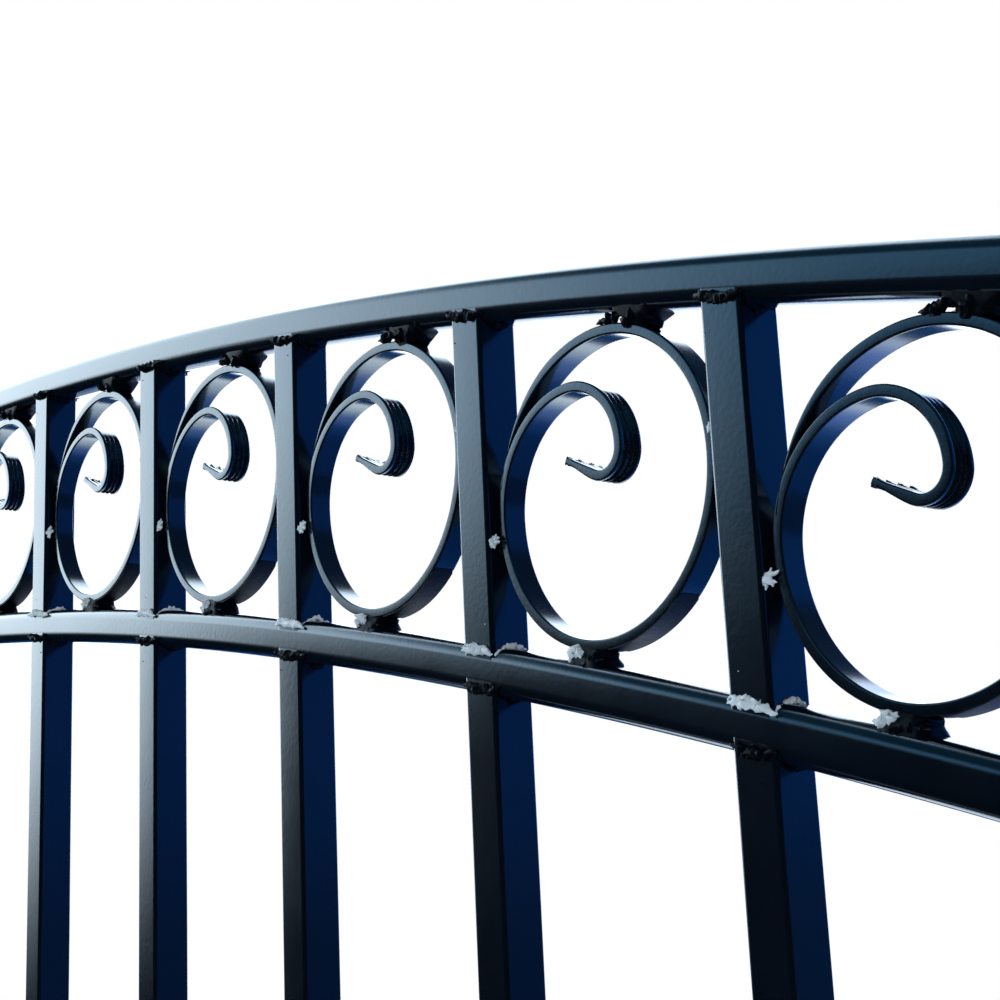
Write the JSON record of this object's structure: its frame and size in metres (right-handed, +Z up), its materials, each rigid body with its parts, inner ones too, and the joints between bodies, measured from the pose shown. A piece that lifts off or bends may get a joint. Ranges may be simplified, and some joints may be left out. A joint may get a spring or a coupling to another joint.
{
  "type": "garden gate",
  "caption": "Arched tubular steel garden gate with a band of scroll rings, eye-bolt hinges and a slide bolt.",
  "frame": {"origin": "middle of the lower hinge plate's back face, where it meets the post", "axes": "+X along the closed leaf from the hinges to the latch, +Y through the leaf towards the side it opens to, +Z up"},
  "size_m": [1.356, 0.075, 1.5299],
  "materials": {
    "black_paint": "satin black paint with a cold blue cast",
    "zinc": "zinc-plated",
    "black_plastic": "matt moulded",
    "stop_rubber": "matt"
  },
  "bodies": {
    "posts": {"lower_hinge_plate": "black_paint", "upper_hinge_plate": "black_paint", "lower_hinge_pin": "zinc", "upper_hinge_pin": "zinc", "thrust_washer": "black_plastic", "keep_plate": "black_paint", "stop_lug": "black_paint", "stop_buffer": "stop_rubber"},
    "leaf": {"hinge_stile": "black_paint", "latch_stile": "black_paint", "top_rail": "black_paint", "ring_rail": "black_paint", "bottom_rail": "black_paint", "upper_pickets": "black_paint", "picket_01": "black_paint", "picket_02": "black_paint", "picket_03": "black_paint", "picket_04": "black_paint", "picket_05": "black_paint", "picket_06": "black_paint", "picket_07": "black_paint", "picket_08": "black_paint", "picket_09": "black_paint", "scroll_01": "black_paint", "scroll_02": "black_paint", "scroll_03": "black_paint", "scroll_04": "black_paint", "scroll_05": "black_paint", "scroll_06": "black_paint", "scroll_07": "black_paint", "scroll_08": "black_paint", "scroll_09": "black_paint", "scroll_10": "black_paint", "lower_spacers": "black_paint", "upper_spacers": "black_paint", "hinge_stile_cap": "black_plastic", "latch_stile_cap": "black_plastic", "foot_plugs": "black_plastic", "lower_eye_bolt": "zinc", "upper_eye_bolt": "zinc", "eye_bolt_nuts": "zinc", "eye_bolt_washers": "zinc", "bolt_plate": "black_paint", "plate_packer": "black_paint", "bolt_guides": "black_paint", "plate_screws": "zinc"},
    "bolt": {"bolt_rod": "zinc", "rod_collars": "zinc"},
    "handle": {"bolt_handle": "black_paint", "handle_knob": "black_plastic"}
  },
  "joints": [
    {"name": "leaf_swing", "type": "hinge", "parent": "posts", "child": "leaf", "pos_m": [0.04, 0, 0], "axis": [0, 0, 1], "range_deg": [0, 105]},
    {"name": "bolt_slide", "type": "slide", "parent": "leaf", "child": "bolt", "axis": [1, 0, 0], "range_m": [0, 0.04]},
    {"name": "handle_turn", "type": "hinge", "parent": "bolt", "child": "handle", "pos_m": [1.156, -0.03, 0.76], "axis": [-1, 0, 0], "range_deg": [0, 110]}
  ]
}
